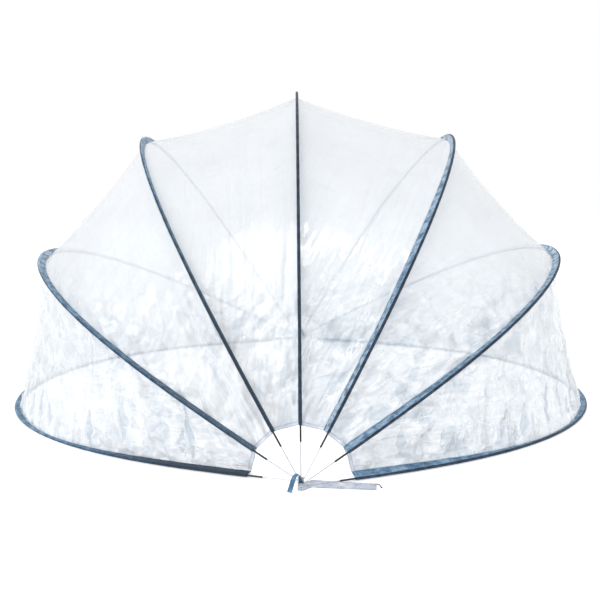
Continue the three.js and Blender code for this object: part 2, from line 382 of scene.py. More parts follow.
def split_xyz(tree, source):
    made = node(tree, "ShaderNodeSeparateXYZ")
    tree.links.new(source, made.inputs["Vector"])
    return made.outputs


def ramp(tree, source, stops):
    """A colour ramp from (place, colour) stops."""
    made = tree.nodes.new("ShaderNodeValToRGB")
    while len(made.color_ramp.elements) < len(stops):
        made.color_ramp.elements.new(0.5)
    for element, (place, colour) in zip(made.color_ramp.elements, stops):
        element.position = place
        element.color = (*colour, 1)
    tree.links.new(source, made.inputs["Fac"])
    return made.outputs["Color"]


def bump(tree, shader, source, strength, distance):
    made = node(tree, "ShaderNodeBump", Strength=strength, Distance=distance)
    tree.links.new(source, made.inputs["Height"])
    tree.links.new(made.outputs["Normal"], shader.inputs["Normal"])
    return made


DEEP_SHADE = (0.012, 0.03, 0.055)   # fabric that no light reaches
# Painted highlight: the pale fabric colour laid where the light falls most.
PAINTED_LIGHT_PALE = (0.60, 0.72, 0.82)
THREAD_COLOUR = (0.5, 0.6, 0.68)
YARN_PITCH = 0.0016
STITCH_LENGTH = 0.0075
STITCH_ROWS = (0.07, 0.9)           # shares of the fin's width, from the tunnel to the open edge


def fabric(name, dark, middle, light):
    """Woven polyester: a plain weave, mottled with use, with painted shade and a patchy painted highlight
    blended into its colour, and stitched.
    """
    material, tree, shader = new_material(name)
    mottle = noise_node(tree, 26, detail=6, roughness=0.7)
    colour = ramp(tree, mottle, [(0.40, dark), (0.5, middle), (0.62, light)])
    colour = blend_colours(tree, marked(tree, "shaded"), colour, DEEP_SHADE)
    # Painted highlight: paler fabric where the light falls most, in patches from the mottle.
    light_patchiness = remap(tree, mottle, 0.43, 0.55, new_low=0.2)
    faded = times(tree, marked(tree, "faded"), light_patchiness)
    colour = blend_colours(tree, faded, colour, PAINTED_LIGHT_PALE)
    cloth = split_xyz(tree, flat_map(tree, "cloth"))
    seams = split_xyz(tree, flat_map(tree, "seams"))
    thread = stitches(tree, cloth["X"], seams["Y"], STITCH_ROWS)
    colour = blend_colours(tree, thread, colour, THREAD_COLOUR)
    tree.links.new(colour, shader.inputs["Base Color"])
    warp, weft = (
        math_node(tree, "SINE", times(tree, cloth[way], 2 * math.pi / YARN_PITCH))
        for way in ("X", "Y")
    )
    weave = times(tree, warp, weft)
    height = plus(tree, times(tree, weave, 0.3), thread)
    height = plus(tree, height, times(tree, mottle, 2.0))
    bump(tree, shader, height, 0.5, 0.0009)
    set_sockets(shader, {"Roughness": 0.78, "Sheen Weight": 0.2, "Sheen Roughness": 0.4})
    return material


def stitches(tree, along, share, rows):
    """1 on the thread of each row of stitches, 0 elsewhere; share runs from 0 to 1 across the fin."""
    beat = math_node(tree, "FRACT", math_node(tree, "DIVIDE", along, STITCH_LENGTH))
    dash = math_node(tree, "LESS_THAN", beat, 0.68)
    total = 0.0
    for row in rows:
        total = plus(tree, math_node(tree, "LESS_THAN", apart(tree, share, row), 0.014), total)
    return times(tree, total, dash)


def facets(tree, place, cells, shift):
    """Flat facets, each tilted its own way: their height, and a number for each."""
    moved = vector_node(tree, "MULTIPLY_ADD", place, cells, shift)
    bent = vector_node(tree, "ADD", moved, flat_noise(tree, moved, 0.9, 1).outputs["Color"])
    cell = node(tree, "ShaderNodeTexVoronoi", voronoi_dimensions="2D", Scale=1)
    tree.links.new(bent, cell.inputs["Vector"])
    reach = vector_node(tree, "SUBTRACT", bent, cell.outputs["Position"])
    tilt = vector_node(tree, "SUBTRACT", cell.outputs["Color"], (0.5, 0.5, 0.5))
    height = vector_node(tree, "DOT_PRODUCT", reach, tilt)
    return height, split_xyz(tree, cell.outputs["Color"])["X"]


def strokes(tree, place, turn, cells, shift, width):
    """Short ridges that wander one way, as where a fold was pressed hard."""
    mapping = node(tree, "ShaderNodeMapping", Rotation=(0, 0, turn), Scale=cells, Location=shift)
    tree.links.new(place, mapping.inputs["Vector"])
    path = flat_noise(tree, mapping.outputs["Vector"], 1, 1.5).outputs["Fac"]
    line = remap(tree, apart(tree, path, 0.5), 0.0, width, new_low=1.0, new_high=0.0)
    gaps = flat_noise(tree, place, 7, 2).outputs["Fac"]
    kept = remap(tree, gaps, 0.44, 0.56, smooth=False)
    return times(tree, line, kept)


# Where each kind of facet lies, its cells per metre, a shift, its depth and how much painted shade it gets.
FACETS = [
    ("crushed", (7.0, 5.0, 1.0), (0.0, 0.0, 0.0), 0.085, 0.22),
    ("crushed", (15.0, 21.0, 1.0), (3.7, 8.1, 0.0), 0.035, 0.16),
    ("pleated", (16.0, 2.4, 1.0), (5.3, 2.2, 0.0), 0.06, 0.38),
    ("gathered", (2.1, 24.0, 1.0), (7.9, 1.6, 0.0), 0.05, 0.4),
]
# Where each kind of ridge lies, its turn, its cells per metre, a shift and its width.
RIDGES = [
    ("crushed", 0.7, (5.0, 16.0, 1.0), (0.0, 0.0, 0.0), 0.038),
    ("crushed", -0.5, (4.0, 13.0, 1.0), (6.1, 2.3, 0.0), 0.038),
    ("crushed", 0.1, (2.6, 9.0, 1.0), (1.7, 5.3, 0.0), 0.05),
    ("pleated", 0.0, (15.0, 1.9, 1.0), (1.2, 9.4, 0.0), 0.038),
    ("gathered", 0.0, (2.0, 20.0, 1.0), (4.4, 7.7, 0.0), 0.038),
    ("gathered", 0.04, (0.8, 6.5, 1.0), (2.9, 3.1, 0.0), 0.07),
]
# White of the crease lines: partly the film's stress whitening, partly painted glint.
CREASE_WHITENING_AND_GLINT = (0.97, 0.98, 0.99)


def film(name, alpha, pale=(0.87, 0.885, 0.90), shade_tint=(0.40, 0.49, 0.58)):
    """Clear soft vinyl: glossy and faintly blue, crazed with sharp creases where it is crushed, with
    painted shade on its facets, crushed patches and fold hollows, and white crease lines that are partly
    stress whitening and partly painted glint.
    """
    material, tree, shader = new_material(name)
    set_sockets(shader, {"Alpha": alpha, "Roughness": 0.1, "IOR": 1.5, "Coat Weight": 0.6,
                         "Coat Roughness": 0.06})
    place = flat_map(tree, "film")
    height, painted_shade, whitening_and_glint = 0.0, 0.0, 0.0
    # Painted shade: each facet is darkened by its own number, as if turned away from the light.
    for mark, cells, shift, depth, shade_share in FACETS:
        where = marked(tree, mark)
        rise, shade = facets(tree, place, cells, shift)
        rise = times(tree, times(tree, rise, depth), where)
        height = plus(tree, rise, height)
        shade = times(tree, math_node(tree, "POWER", shade, 2.0), where)
        painted_shade = plus(tree, times(tree, shade, shade_share), painted_shade)
    # Painted shade and reflection: blue-grey patches over the crushed film, for the dark ground mirrored in
    # it.
    blotch = flat_noise(tree, place, 6, 5, Roughness=0.62, Distortion=0.6).outputs["Fac"]
    patch = remap(tree, blotch, 0.47, 0.66, new_high=0.62)
    crushed = marked(tree, "crushed")
    painted_shade = plus(tree, painted_shade, times(tree, patch, crushed))
    # Painted shade in the hollows of the puckered folds.
    painted_shade = plus(tree, painted_shade, marked(tree, "puckered"))
    # White crease lines, partly stress whitening and partly painted glint; the pucker rims' painted glint
    # joins them below.
    for mark, turn, cells, shift, width in RIDGES:
        line = strokes(tree, place, turn, cells, shift, width)
        line = times(tree, line, marked(tree, mark))
        whitening_and_glint = math_node(tree, "MAXIMUM", line, whitening_and_glint)
    whitening_and_glint = math_node(tree, "MAXIMUM", marked(tree, "pucker_rim"), whitening_and_glint)
    height = plus(tree, height, times(tree, whitening_and_glint, 0.004))
    cloud = noise_node(tree, 1.7, detail=3)
    clear = ramp(tree, cloud, [(0.35, [0.93 * c for c in pale]), (0.65, pale)])
    tinted = blend_colours(tree, painted_shade, clear, shade_tint)
    colour = blend_colours(tree, whitening_and_glint, tinted, CREASE_WHITENING_AND_GLINT)
    tree.links.new(colour, shader.inputs["Base Color"])
    crease = bump(tree, shader, height, 0.9, 1.0)
    fine = noise_node(tree, 9, detail=7, roughness=0.62)
    ripple = bump(tree, shader, fine, 1.0, 0.008)
    tree.links.new(times(tree, crushed, 0.28), ripple.inputs["Strength"])
    tree.links.new(crease.outputs["Normal"], ripple.inputs["Normal"])
    return material


def metal(name, colour, roughness):
    material, tree, shader = new_material(name)
    wear = noise_node(tree, 90, detail=5, roughness=0.6)
    tone = ramp(tree, wear, [(0.35, [0.8 * c for c in colour]), (0.7, colour)])
    tree.links.new(tone, shader.inputs["Base Color"])
    set_sockets(shader, {"Metallic": 1.0, "Roughness": roughness})
    bump(tree, shader, wear, 0.08, 0.0005)
    return material


def plastic(name, colour, roughness):
    material, tree, shader = new_material(name)
    speckle = noise_node(tree, 160, detail=3)
    low_tone, high_tone = [0.75 * c for c in colour], [1.2 * c for c in colour]
    tone = ramp(tree, speckle, [(0.3, low_tone), (0.7, high_tone)])
    tree.links.new(tone, shader.inputs["Base Color"])
    shader.inputs["Roughness"].default_value = roughness
    bump(tree, shader, speckle, 0.1, 0.0006)
    return material


sleeve_blue = fabric("sleeve_blue", (0.05, 0.12, 0.21), (0.10, 0.22, 0.36), (0.26, 0.42, 0.57))
tunnel_navy = fabric("tunnel_navy", (0.008, 0.016, 0.03), (0.016, 0.03, 0.055), (0.04, 0.07, 0.12))
webbing_blue = fabric("webbing_blue", (0.06, 0.14, 0.24), (0.1, 0.22, 0.36), (0.2, 0.36, 0.52))
film_clear = film("film_clear", 0.72)
film_hem = film("film_hem", 0.8, pale=(0.80, 0.82, 0.90))
weld_line = film("weld_line", 0.9, pale=(0.40, 0.46, 0.58), shade_tint=(0.25, 0.30, 0.42))
film_band = film("film_band", 0.85, pale=(0.68, 0.73, 0.86), shade_tint=(0.26, 0.31, 0.47))
band_hem = film("band_hem", 0.95, pale=(0.20, 0.24, 0.34), shade_tint=(0.10, 0.13, 0.22))
fibreglass = plastic("fibreglass", (0.018, 0.02, 0.024), 0.32)
steel = metal("steel", (0.72, 0.74, 0.77), 0.3)
zinc = metal("zinc", (0.66, 0.68, 0.7), 0.42)
hook_black = plastic("hook_black", (0.03, 0.035, 0.045), 0.45)


# -------------------------------- rods and pins
def build_rod(k, side):
    """A black fibreglass rod, half a hoop, with a small chamfer where the pin goes in."""
    chamfer = [PIN_LENGTH, PIN_LENGTH + 0.0012]
    s = np.concatenate([chamfer, np.linspace(PIN_LENGTH + 0.006, HALF_LENGTH - 2e-4, 60)])
    radii = np.full(len(s), ROD_RADIUS)
    radii[0] = ROD_RADIUS * 0.72
    r, y = hoop_line(s)
    line = placed(k, r, y if side == "near" else -y)
    name = f"rod_{side}_{HOOP_NAMES[k]}"
    piece = round_tube("fibreglass_" + name, line, radii, 16, fibreglass)
    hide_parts(name)
    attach(piece, BODIES[k])


def build_pin(k, side):
    """A steel wire pin with its end looped round the pivot bolt."""
    r0, y0 = hoop_line(0.0)
    r1, y1 = hoop_line(PIN_LENGTH)
    heading = math.atan2(float(y1 - y0), float(r1 - r0))
    turn = np.linspace(-math.radians(285), 0, 26)
    loop = np.stack([EYE_RADIUS * np.cos(turn), np.zeros_like(turn), EYE_RADIUS * np.sin(turn)], -1)
    straight = np.linspace(0.014, PIN_LENGTH - 5e-4, 14)
    way = np.array([math.cos(heading), math.sin(heading), 0.0])
    shank = straight[:, None] * way
    ease = np.array([[EYE_RADIUS * 1.08, 0.0002, 0.0022], [0.0098, 0.002, 0.0012]])
    line = np.concatenate([loop, ease, shank])
    y = line[:, 1] - HALF_SPAN
    points = placed(k, line[:, 0], y if side == "near" else -y, line[:, 2])
    name = f"pin_{side}_{HOOP_NAMES[k]}"
    piece = round_tube("wire_" + name, points, PIN_RADIUS, 12, steel)
    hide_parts(name)
    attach(piece, BODIES[k])


# -------------------------------- sleeves
# Each table below goes by the hoop's number, 0 on the right to 6 on the left.
LEAN_AT_HUB = {0: 16, 1: 18, 2: 15, 3: 11}      # degrees
LEAN_HALF_WAY = {2: 30}
# Painted highlight, by hoop: how pale the fabric is painted at the crown, beside the hub and half way up,
# where the light falls most.
PAINTED_LIGHT_CROWN = {0: 0.25, 3: 0.5, 6: 0.25}        # elsewhere 1
PAINTED_LIGHT_HUB = {0: 0.1, 1: 0.3, 2: 0.7}
PAINTED_LIGHT_HALF_WAY = {1: 0.3, 2: 0.35}
SHADED_HUB = {3: (0.4, 1.9), 4: (0.95, 1.9), 5: (0.6, 1.5), 6: (0.95, 1.3)}     # depth, and its reach
LAYER_OFFSET = 0.0012                           # each layer of a fin, from the fin's middle
FIN_WOBBLE = 0.0022                             # slow waves across the middle of a fin
FIN_RIPPLE = 0.0008                             # quick ripples at its open edge
TUNNEL_OPENING = math.radians(14)               # each side of the fin, where the tunnel meets it
# Columns across one layer of a fin: the share of its width, and the share of the offset there.
FIN_SHARES = [0.03, 0.07, 0.11, 0.3, 0.5, 0.7, 0.86, 0.93, 1.0]
FIN_GAPS = [0.8, 0.45, 0.8, 1.0, 1.0, 0.9, 0.75, 0.6, 0.35]


def hump(value, centre, spread):
    """1 at the centre, falling away smoothly on both sides."""
    return np.exp(-(((value - centre) / spread) ** 2))


def fin_width(k, s):
    """Rod centre to film seam: the fin narrows to the crown, and the end hoops' fins are rolled in."""
    run = near_end(s) / (HALF_LENGTH - SLEEVE_START)
    crown_width = STEEP_CROWN_FIN_WIDTH if k in (2, 3, 4) else CROWN_FIN_WIDTH
    width = FIN_WIDTH + (crown_width - FIN_WIDTH) * smoothstep(0.1, 0.9, run)
    if k in (0, 6):
        width = width - BASE_FIN_PINCH * hump(run, 0.5, 0.24)
    return width


def fin_lean(k, s):
    """How far the fin turns out of the hoop's plane, towards the hoop on its left."""
    end = near_end(s)
    beside_hub = LEAN_AT_HUB.get(k, 0) * hump(end, 0.0, 0.62)
    on_the_way_up = LEAN_HALF_WAY.get(k, 0) * hump(end, 1.35, 0.7)
    return np.radians(beside_hub + on_the_way_up)


def fin_frame(k, s):
    """The rod's point, the fin's direction and the way across its layers, as (r, y, out)."""
    r, y = hoop_line(s)
    tangent = hoop_tangent(s)
    lean = fin_lean(k, s)
    direction = np.stack([-tangent[1] * np.cos(lean), tangent[0] * np.cos(lean), np.sin(lean)])
    upright = np.stack([tangent[1] * np.sin(lean), -tangent[0] * np.sin(lean), np.cos(lean)])
    return np.stack([r, y, np.zeros_like(r)]), direction, upright


def blend_to_neighbour(piece, k):
    """Bakes the piece's transform and works out, from its points' angles about the pivot axis, how far each
    point lies from hoop k towards hoop k + 1; these weights are not used, and the piece is not attached to
    a body.
    """
    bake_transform(piece)
    points = np.array([v.co for v in piece.data.vertices])
    angles = np.arctan2(points[:, 2] - pivot.z, points[:, 0] - pivot.x)
    weights = (angles - hoop_angle(k)) / (hoop_angle(k + 1) - hoop_angle(k))
    weights = np.clip(weights, 0, 1).astype(np.float32)


def note_navy_and_painted_light(piece, k, s, count):
    """Navy on the tunnel's outside and along the open edges; painted highlight on the rest, and painted
    shade near the hub.
    """
    steps = len(FIN_SHARES)
    rim = 4 if k < 4 else 7         # columns of the tunnel, on each side, that stay blue
    dark = set(range(steps + rim, count - steps - rim)) | {0, 1, 2} | {count - 3, count - 2, count - 1}
    two_materials(piece, tunnel_navy, lambda corners: all(v % count in dark for v in corners))
    end = near_end(s)
    plain = np.array([float(column not in dark) for column in range(count)])
    # Painted highlight: paler at the crowns, and on the right-hand hoops near the hub and half way up.
    faded = PAINTED_LIGHT_CROWN.get(k, 1.0) * hump(s, HALF_LENGTH, 0.75)
    faded = faded + PAINTED_LIGHT_HUB.get(k, 0.0) * hump(end, 0.0, 0.7)
    faded = faded + PAINTED_LIGHT_HALF_WAY.get(k, 0.0) * hump(end, 1.5, 0.7)
    note(piece, "faded", faded[:, None] * plain)
    deepest, lit_from = SHADED_HUB.get(k, (0.0, 1.0))
    shaded = deepest * (1 - smoothstep(0.4, lit_from, end))
    note(piece, "shaded", np.repeat(shaded, count))


def build_sleeve(k):
    """One strip of fabric, doubled round the rod: a tunnel, then a two-layer fin left open at its edge."""
    name = HOOP_NAMES[k]
    s = np.linspace(SLEEVE_START, SLEEVE_FINISH, 360)
    centre, direction, upright = fin_frame(k, s)
    width = fin_width(k, s)
    wobble = noise(spot(s * 9, k * 3.1, 0.0), 3)
    ripple = noise(spot(s * 34, k * 5.7, 1.0), 4)
    columns, cloth, seams = [], [], []

    def add(column, across, share):
        columns.append(column)
        cloth.append(pairs(s, across))
        seams.append(pairs(s, share))

    def add_fin(sign, order):
        for share, gap in order:
            reach = TUNNEL_RADIUS + (width - TUNNEL_RADIUS) * share
            wave = FIN_WOBBLE * wobble * math.sin(math.pi * share) + FIN_RIPPLE * ripple * share
            off = sign * LAYER_OFFSET * gap + wave
            add(centre + direction * reach + upright * off, sign * reach, share)

    fin_steps = list(zip(FIN_SHARES, FIN_GAPS))
    add_fin(1, reversed(fin_steps))
    for turn in np.linspace(TUNNEL_OPENING, 2 * math.pi - TUNNEL_OPENING, 17):
        puff = TUNNEL_RADIUS * (1 + 0.05 * ripple)
        add(centre + direction * math.cos(turn) * puff + upright * math.sin(turn) * puff,
            TUNNEL_RADIUS * (math.pi - turn), -1.0)
    add_fin(-1, fin_steps)
    count = len(columns)
    rings = np.stack(columns, 1)
    points = np.stack([placed(k, *rings[:, j]) for j in range(count)], 1)
    faces = grid_faces(len(s), count)
    piece = mesh_object("fabric_sleeve_" + name, points.reshape(-1, 3), faces, sleeve_blue)
    lay_flat(piece, "cloth", np.stack(cloth, 1))
    lay_flat(piece, "seams", np.stack(seams, 1))
    note_navy_and_painted_light(piece, k, s, count)
    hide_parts("sleeve_" + name)
    if k < 4:
        blend_to_neighbour(piece, k)
    else:
        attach(piece, BODIES[k])


# -------------------------------- film
FILM_ROWS = 520
FILM_COLUMNS = 76
BASE_FILM_ROWS = 860
BASE_FILM_COLUMNS = 110
PUCKER_PITCH = 0.10                 # between the folds that stand above each end hoop
PUCKER_MARGIN = 0.25                # none stands nearer than this to the film's ends
PUCKER_LEAN = 0.4                   # how far they lean away from the nearer hub, per unit of height
HEM_WIDTH = 0.022
# The numbers below also set how much painted shade each film's crushed parts get.
FILM_CRAZING_AND_SHADE = [0.8, 0.9, 1.0, 0.8, 0.5, 0.75]     # how crazed each film is, from the right to the left


def seam(k, s, side):
    """The film's edge on hoop k, in the row frame, just inside the fin's tip."""
    centre, direction, upright = fin_frame(k, s)
    width = fin_width(k, s) - SEAM_TUCK
    edge = centre + direction * width + upright * side * 0.0004
    return placed(k, *edge)


def sharp_folds(along, across, seed, spacing, kinds):
    """Straight sharp folds that cross, each kind only in patches, as in film that was packed small."""
    total = np.zeros_like(along)
    for kind in range(kinds):
        turn = math.pi * ((kind * 0.618 + seed * 0.377) % 1.0)
        gap = spacing * (0.7 + 0.9 * ((kind * 0.754 + seed * 0.151) % 1.0))
        line = (along * math.cos(turn) + across * math.sin(turn)) / gap
        line = line + 0.55 * noise(spot(along * 2.3, across * 2.3, kind + seed * 3.0), seed + kind)
        wave = 2 * np.abs(line - np.floor(line) - 0.5)
        patch = noise(spot(along * 3.1, across * 3.1, kind + seed * 5.0), seed + kind + 40)
        total += smoothstep(-0.05, 0.35, patch) * gap * (wave - 0.5)
    return total


def pucker_folds(s, up, k):
    """Drop-shaped folds standing above an end hoop: how deep, and their raised rims, from 0 to 1."""
    inside = np.zeros_like(s)
    rim = np.zeros_like(s)
    most, size = (0.4, 1.0) if k == 0 else (0.1, 1.4)
    for i in range(int((SLEEVE_LENGTH - 2 * PUCKER_MARGIN) / PUCKER_PITCH)):
        chance = [float(lattice_value(np.array([[i, part, 0]]), 300 + k)[0]) for part in range(6)]
        if chance[5] > most:
            continue
        centre = SLEEVE_START + PUCKER_MARGIN + (i + 0.5 + 0.4 * chance[0]) * PUCKER_PITCH
        height = size * (0.17 + 0.09 * chance[1])
        half_width = size * (0.028 + 0.010 * chance[2])
        foot = 0.02 + 0.02 * (chance[3] + 1)
        lean = 0.25 * chance[4] + PUCKER_LEAN * math.copysign(1, HALF_LENGTH - centre)
        share = np.clip((up - foot) / height, 0, 1)
        lens = np.minimum(share / 0.35, (1 - share) / 0.65)
        off = np.abs(s - centre - lean * (up - foot)) / np.maximum(half_width * lens, 1e-4)
        standing = (share > 0) & (share < 1)
        strength = 0.65 + 0.35 * chance[0]
        inside = np.maximum(inside, strength * standing * (1 - smoothstep(0.6, 1.0, off)))
        rim = np.maximum(rim, strength * standing * hump(off, 1.2, 0.2))
    return inside, rim


def far_side(s):
    """0 on the near side of the crown and 1 on the far side."""
    return smoothstep(HALF_LENGTH - 0.4, HALF_LENGTH + 0.6, s)


def crushed_share(s, height):
    """1 where the film is crushed, low down, and 0 where it is smooth; less high on the far side."""
    far = far_side(s)
    return 1 - smoothstep(0.40 - 0.2 * far, 1.10 - 0.4 * far, height)


def above_end_hoop(k, across):
    """Distance from the end hoop's seam, in the first and last films."""
    return across if k == 0 else across.max(axis=1, keepdims=True) - across


def crumple(points, s, across, k):
    """How far the film stands off its smooth surface."""
    end = near_end(s)
    height = points[..., 2]
    seed = 11 * k + 5
    low = crushed_share(s, height)
    creased = (0.004 + 0.26 * low) * 0.5 * sharp_folds(s, across, seed, 0.19, 5)
    creased += 0.20 * low * 0.5 * sharp_folds(s, across, seed + 3, 0.075, 5)
    hub = np.exp(-end / 0.75)
    fan = spot(s * 1.3, across * 22, 2.0 * k)
    fan = fan + 0.4 * noise(spot(s * 3, across * 5, k), seed)[..., None]
    gathers = 0.012 * hub * noise(fan, seed + 1) + 0.004 * hub * noise(fan * 2.3, seed + 2)
    slow = 0.005 * noise(spot(s * 1.7, across * 1.9, 7.0 * k), seed + 6)
    offset = creased + gathers + slow
    if k in (0, 5):
        offset -= 0.6 * creased * smoothstep(0.5, 1.3, end)
        up = above_end_hoop(k, across)
        inside, rim = pucker_folds(s, up, k)
        offset += 0.007 * rim - 0.014 * inside
        drift = 0.9 * noise(spot(s * 1.2, up * 2.2, 4.0 * k), seed + 8)
        leaning = s - PUCKER_LEAN * up * np.sign(HALF_LENGTH - s)
        pleat = noise(spot(leaning * 21 + drift, up * 1.5, 3.0 * k), seed + 9)
        strength = smoothstep(0.1, 0.7, end) * np.exp(-((up / 0.42) ** 1.5))
        offset += 0.010 * (0.35 - np.abs(pleat)) * strength
        long_pleat = noise(spot(leaning * 9 + drift, up * 0.7, 9.0 * k), seed + 10)
        offset += 0.011 * np.abs(long_pleat) * smoothstep(0.3, 1.2, end)
    to_edge = np.minimum(across, across.max(axis=1, keepdims=True) - across)
    return offset * np.clip(to_edge / 0.03, 0, 1)


def film_surface(k, s_line, v_line):
    """The film's points, the way out of it at each arc length, and the distance across it from hoop k."""
    s, v = np.meshgrid(s_line, v_line, indexing="ij")
    right, left = seam(k, s_line, 1), seam(k + 1, s_line, -1)
    chord = left - right
    tangent = hoop_tangent(s_line)
    angle = (hoop_angle(k) + hoop_angle(k + 1)) / 2
    outward = np.stack([tangent[1] * math.cos(angle), -tangent[0], tangent[1] * math.sin(angle)], -1)
    gap = np.linalg.norm(chord, axis=1)[:, None]
    points = right[:, None] + chord[:, None] * v[..., None]
    across = v * gap
    offset = crumple(points, s, across, k) - FILM_SAG * gap * 4 * v * (1 - v)
    return points + outward[:, None] * offset[..., None], outward, across


def note_creases(piece, k, s_line, across, height):
    """Marks where the film is crushed and where it is pleated, and its own flat coordinates, in metres."""
    s = np.broadcast_to(s_line[:, None], across.shape)
    end = near_end(s)
    far = far_side(s)
    crushed = 0.03 + 0.97 * FILM_CRAZING_AND_SHADE[k] * (1 - 0.5 * far) * crushed_share(s, height)
    gathered = 1.2 * np.exp(-end / 0.45)
    pleated = np.full_like(s, 0.02)
    flat = pairs(s, across + 2.0 * k)
    if k in (0, 5):
        up = above_end_hoop(k, across)
        inside, rim = pucker_folds(s, up, k)
        # Painted shade in the pucker hollows, and painted glint along their rims.
        note(piece, "puckered", (0.85 if k == 0 else 1.1) * inside)
        note(piece, "pucker_rim", 0.9 * rim)
        pleated = (0.2 + 0.8 * np.exp(-up / 0.5) * smoothstep(0.1, 0.8, end)) * (1 - 0.4 * far)
        crushed = crushed * (1 - 0.6 * smoothstep(0.6, 1.4, end))
        leaning = s - PUCKER_LEAN * up * np.sign(HALF_LENGTH - s)
        flat = pairs(leaning, up + 2.0 * k)
    note(piece, "crushed", crushed)
    note(piece, "pleated", pleated)
    note(piece, "gathered", gathered)
    lay_flat(piece, "film", flat)


def film_lines(k):
    """Arc lengths and shares across at the film's points, closest together beside an end hoop."""
    rows = BASE_FILM_ROWS if k in (0, 5) else FILM_ROWS
    s_line = np.linspace(SLEEVE_START, SLEEVE_FINISH, rows)
    if k not in (0, 5):
        return s_line, np.linspace(0, 1, FILM_COLUMNS)
    even = np.linspace(0, 1, BASE_FILM_COLUMNS)
    shares = 0.35 * even + 0.65 * even ** 2
    return s_line, shares if k == 0 else (1 - shares)[::-1]


def build_film(k):
    name = f"{HOOP_NAMES[k]}_{HOOP_NAMES[k + 1]}"
    s_line, v_line = film_lines(k)
    points, _, across = film_surface(k, s_line, v_line)
    faces = grid_faces(len(s_line), len(v_line))
    piece = mesh_object("clear_film_" + name, points.reshape(-1, 3), faces, film_clear)
    note_creases(piece, k, s_line, across, points[..., 2])
    piece.visible_shadow = False
    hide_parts("film_" + name)
    hems = [build_hem(k, name, v_line, end) for end in ("near", "far")]
    blend_to_neighbour(piece, k)


def build_hem(k, name, v_line, end):
    """The turned hem at the film's open end: a second layer, with a rolled edge and a raised weld."""
    steps = np.array([0.0, 0.0012, 0.0032, 0.0045, 0.010, 0.016, 0.0172, 0.0195, 0.0208, HEM_WIDTH])
    rise = np.array([0.0006, 0.0022, 0.0022, 0.0008, 0.0012, 0.0008, 0.0020, 0.0020, 0.0008, 0.0004])
    on_line = [1, 6]                # the rows where the rolled edge and the weld begin
    s_line = SLEEVE_START + steps if end == "near" else SLEEVE_FINISH - steps
    points, outward, across = film_surface(k, s_line, v_line)
    strip = points + outward[:, None] * rise[:, None, None]
    name = f"film_hem_{end}_{name}"
    piece = mesh_object(name, strip.reshape(-1, 3), grid_faces(len(steps), len(v_line)), film_hem)
    two_materials(piece, weld_line, lambda corners: min(corners) // len(v_line) in on_line)
    lay_flat(piece, "film", pairs(s_line[:, None], across + 2.0 * k))
    piece.visible_shadow = False
    blend_to_neighbour(piece, k)
    return piece


for k in range(7):
    for side in ("near", "far"):
        build_rod(k, side)
        build_pin(k, side)
for k in range(7):
    build_sleeve(k)
for k in range(6):
    build_film(k)


# -------------------------------- the hubs
def paint(name, material, bevel=0.0):
    piece = frame["nodes"][name]
    piece.data.materials.clear()
    piece.data.materials.append(material)
    if bevel:
        edges = piece.modifiers.new("edges", "BEVEL")
        edges.width = bevel
        edges.segments = 2


def turn_to(side, directions):
    """Directions beside the near hub, as they are at this hub: the far hub is turned half way round."""
    return directions * (np.array([-1.0, -1.0, 1.0]) if side == "far" else np.ones(3))


def at_hub(side, points):
    """Points given beside the near hub, in metres, moved to their hub."""
    points = np.asarray(points, float).reshape(-1, 3)
    return turn_to(side, points) + [pivot.x, HALF_SPAN if side == "far" else -HALF_SPAN, 0]


EAR = 0.0385                        # the outer ear's outer face, from the hub's middle
TIE_HEADING = math.radians(-150)
TIE_WIDTH = 0.022
TIE_THICKNESS = 0.0016
# The tie's arch, as distances out along its heading and up, in millimetres.
TIE_ARCH = [[0, 24], [2, 46], [7, 70], [17, 84], [31, 80], [42, 60], [52, 34], [60, 12], [63.2, 5]]


def build_tie(side):
    """Blue webbing, threaded through the bracket's slot, arching over and twisting down to the floor."""
    count = 90
    arch = np.array(TIE_ARCH) / 1000
    out, up = arch[:, 0], arch[:, 1]
    clear = EAR + 0.0045 + (TIE_WIDTH / 2 - 0.0045) * smoothstep(0.0, 0.017, out)
    knots = np.stack([out * math.cos(TIE_HEADING), -clear + out * math.sin(TIE_HEADING), up], -1)
    slot = [[0, -EAR + 0.009, 0.0215], [0, -EAR + 0.001, 0.024], [0, -EAR - 0.0035, 0.027]]
    line = smooth_line(np.vstack([slot, knots[1:]]), count)
    share = np.linspace(0, 1, count)[:, None]
    to_arch, to_tail = smoothstep(0.15, 0.45, share), smoothstep(0.45, 0.8, share)
    over_arch = np.array([-math.sin(TIE_HEADING), math.cos(TIE_HEADING), 0.0])
    sideways = (1 - to_arch) * np.array([1.0, 0.0, 0.0]) + to_arch * over_arch
    sideways = (1 - to_tail) * sideways + to_tail * np.array([0.92, -0.17, -0.29])
    piece, length = ribbon("webbing_band_" + side, at_hub(side, line), turn_to(side, sideways),
                           TIE_WIDTH, TIE_THICKNESS, webbing_blue, ribs=5)
    columns = len(piece.data.vertices) // count
    note(piece, "shaded", np.repeat(0.75 * (1 - smoothstep(0.25, 0.6, share)), columns))
    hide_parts("webbing_tie_" + side)
    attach(piece, "base_left")


STRAP_START = (0.023, 0.018)
STRAP_TURN = math.radians(-7)
STRAP_LENGTH = 0.332                # of the part that lies on the floor
STRAP_WIDTH = 0.070


def strap_point(along, across, up):
    """A point of the strap where it lies, by its place along and across it and its height."""
    c, s = math.cos(STRAP_TURN), math.sin(STRAP_TURN)
    along, across, up = np.broadcast_arrays(np.asarray(along, float), across, up)
    x = STRAP_START[0] + along * c - across * s
    y = STRAP_START[1] + along * s + across * c
    return np.stack([x, y, up], -1)


